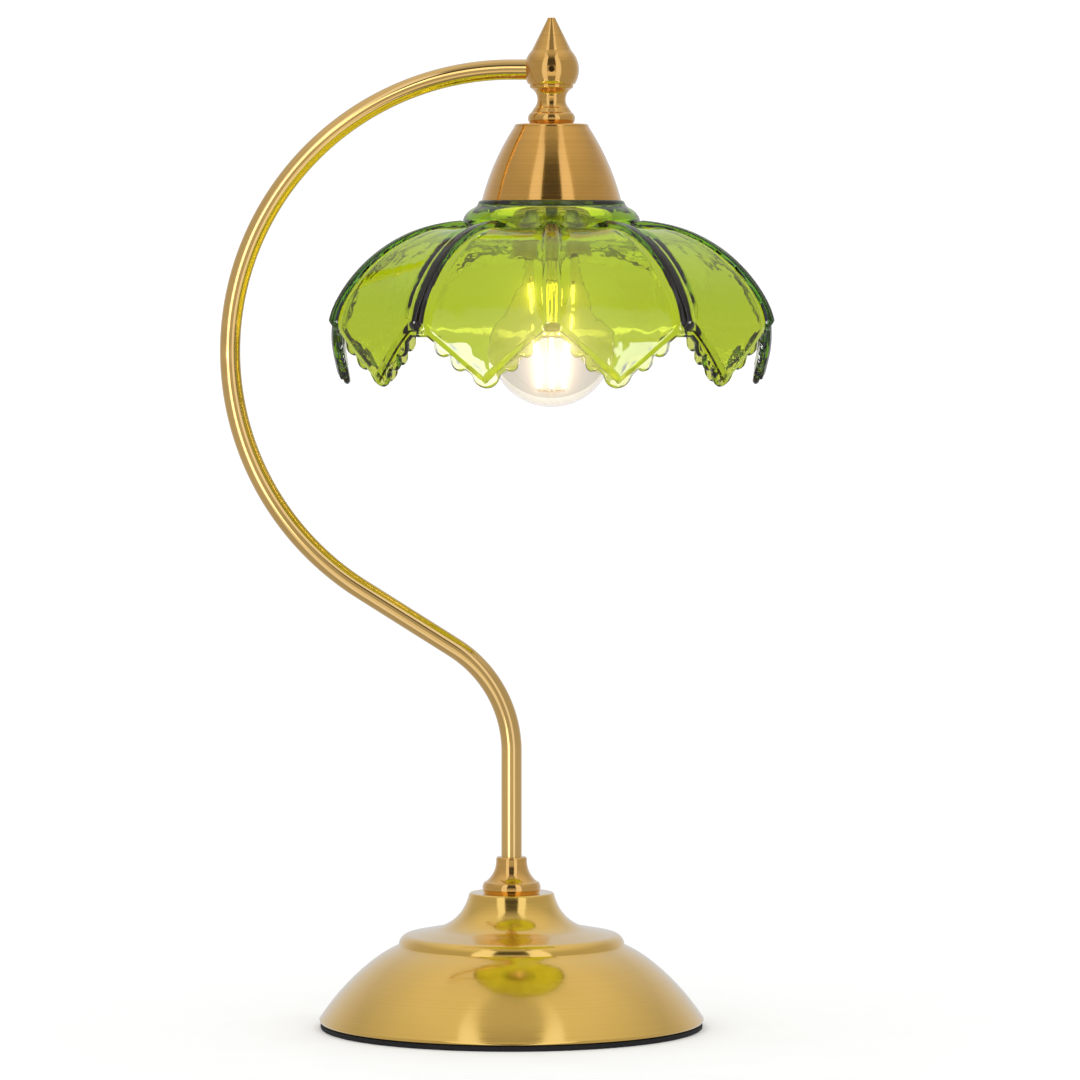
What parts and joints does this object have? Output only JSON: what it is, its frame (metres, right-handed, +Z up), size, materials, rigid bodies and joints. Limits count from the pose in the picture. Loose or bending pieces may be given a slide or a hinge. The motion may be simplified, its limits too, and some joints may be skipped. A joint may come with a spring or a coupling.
{
  "type": "table lamp",
  "caption": "Table lamp with a domed brass base, a bowed tube arm and a hanging petal shade of green pressed glass around a screw-in filament bulb.",
  "frame": {"origin": "on the table, at the centre of the base pad's underside, on the axis of the stem", "axes": "+Z up along the stem; -Y is the front that the picture shows; the arm bows out to -X and the head hangs at +X"},
  "size_m": [0.27, 0.2278, 0.4927],
  "materials": {
    "satin_brass": "satin, fine turned brushing",
    "polished_brass": "polished, turned",
    "brass_contacts": "bare",
    "zinc_steel": "zinc plated",
    "nickel": "nickel plated",
    "ballast_iron": "as cast, painted grey",
    "black_foam": "matte foam sheet",
    "black_rubber": "matte",
    "white_nylon": "moulded",
    "white_porcelain": "unglazed",
    "brown_sleeve": "wire insulation",
    "blue_sleeve": "wire insulation",
    "green_glass": "thick pressed glass, polished",
    "clear_glass": "clear blown glass",
    "black_glass": "fused glass insulator",
    "filament_phosphor": "phosphor silicone, lit"
  },
  "bodies": {
    "stand": {"base_pad": "black_foam", "base_shell": "satin_brass", "cord_bushing": "black_rubber", "base_weight": "ballast_iron", "terminal_block": "white_nylon", "terminal_screws": "zinc_steel", "earth_screw": "zinc_steel", "stem_collar": "polished_brass", "arm_tube": "satin_brass", "base_nipple": "zinc_steel", "base_washer": "zinc_steel", "base_nut": "zinc_steel", "head_elbow": "polished_brass", "arm_set_screw": "polished_brass", "finial": "polished_brass", "cup": "satin_brass", "cup_washer": "zinc_steel", "cup_nut": "zinc_steel", "head_nipple": "zinc_steel", "holder_cap": "satin_brass", "holder_skirt": "satin_brass", "contact_block": "white_porcelain", "screw_shell": "brass_contacts", "contact_spring": "zinc_steel", "terminal_posts": "brass_contacts", "live_wire": "brown_sleeve", "neutral_wire": "blue_sleeve"},
    "shade": {"glass_shade": "green_glass"},
    "ring": {"shade_ring": "satin_brass"},
    "contact": {"contact_plunger": "brass_contacts"},
    "bulb": {"bulb_glass": "clear_glass", "bulb_cap": "nickel", "bulb_insulator": "black_glass", "bulb_contact": "nickel", "bulb_stem": "clear_glass", "bulb_filaments": "filament_phosphor", "bulb_wires": "nickel"}
  },
  "joints": [
    {"name": "shade_lower", "type": "slide", "parent": "stand", "child": "shade", "axis": [0, 0, -1], "range_m": [0, 0.0075]},
    {"name": "ring_turn", "type": "hinge", "parent": "shade", "child": "ring", "pos_m": [0.0195, 0, 0.396], "axis": [0, 0, -1], "range_deg": [0, 1085]},
    {"name": "contact_travel", "type": "slide", "parent": "stand", "child": "contact", "axis": [0, 0, -1], "range_m": [0, 0.00363], "deforming": ["contact_spring"]},
    {"name": "bulb_turn", "type": "hinge", "parent": "contact", "child": "bulb", "pos_m": [0.0195, 0, 0.397], "axis": [0, 0, -1], "range_deg": [0, 365]}
  ],
  "couplings": [
    {"joint": "ring_turn", "follows": "shade_lower", "rad_per_m": 2513.3},
    {"joint": "bulb_turn", "follows": "contact_travel", "rad_per_m": 1730.9}
  ]
}
